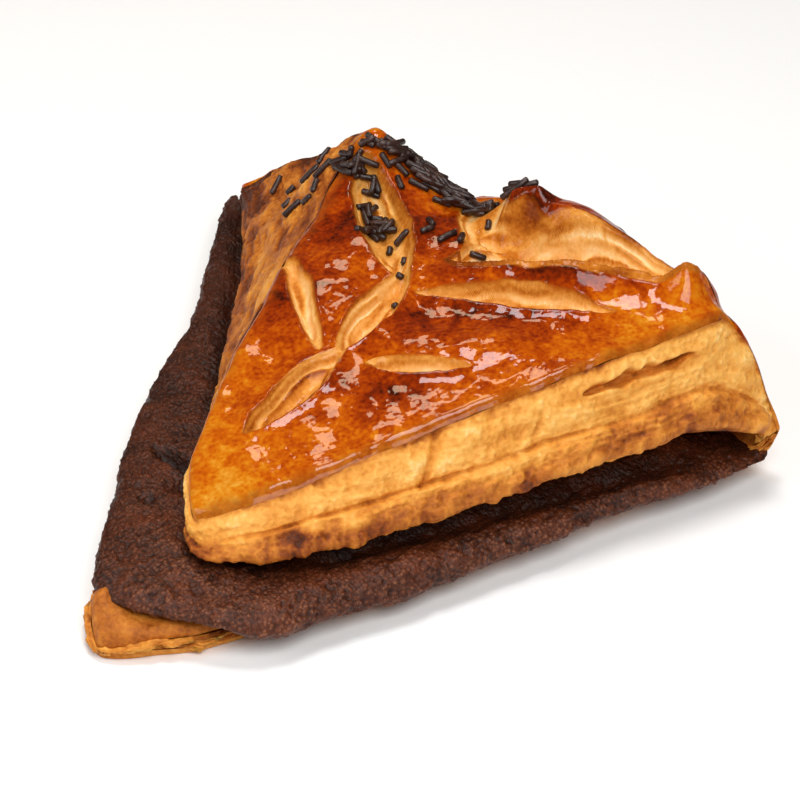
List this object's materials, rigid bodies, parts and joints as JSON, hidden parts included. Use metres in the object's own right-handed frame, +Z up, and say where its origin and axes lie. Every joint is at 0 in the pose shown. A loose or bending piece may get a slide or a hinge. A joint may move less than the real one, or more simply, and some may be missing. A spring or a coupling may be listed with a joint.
{
  "type": "turnover pastry",
  "caption": "Triangular puff pastry turnover with slashed glazed top, risen layered sides, cocoa cake layer and chocolate vermicelli.",
  "frame": {"origin": "middle of the bounding box, on the surface the pastry lies on", "axes": "+X along the fold, +Y from the open corner towards the fold, +Z up"},
  "size_m": [0.1476, 0.1332, 0.0487],
  "materials": {
    "pastry": "egg-washed glossy amber crust, matt cream layered cut sides",
    "cocoa": "matt crumbly dark brown cocoa cake",
    "vermicelli": "satin dark chocolate vermicelli"
  },
  "bodies": {
    "root": {"pastry": "pastry", "cocoa_filling": "cocoa"}
  },
  "joints": []
}
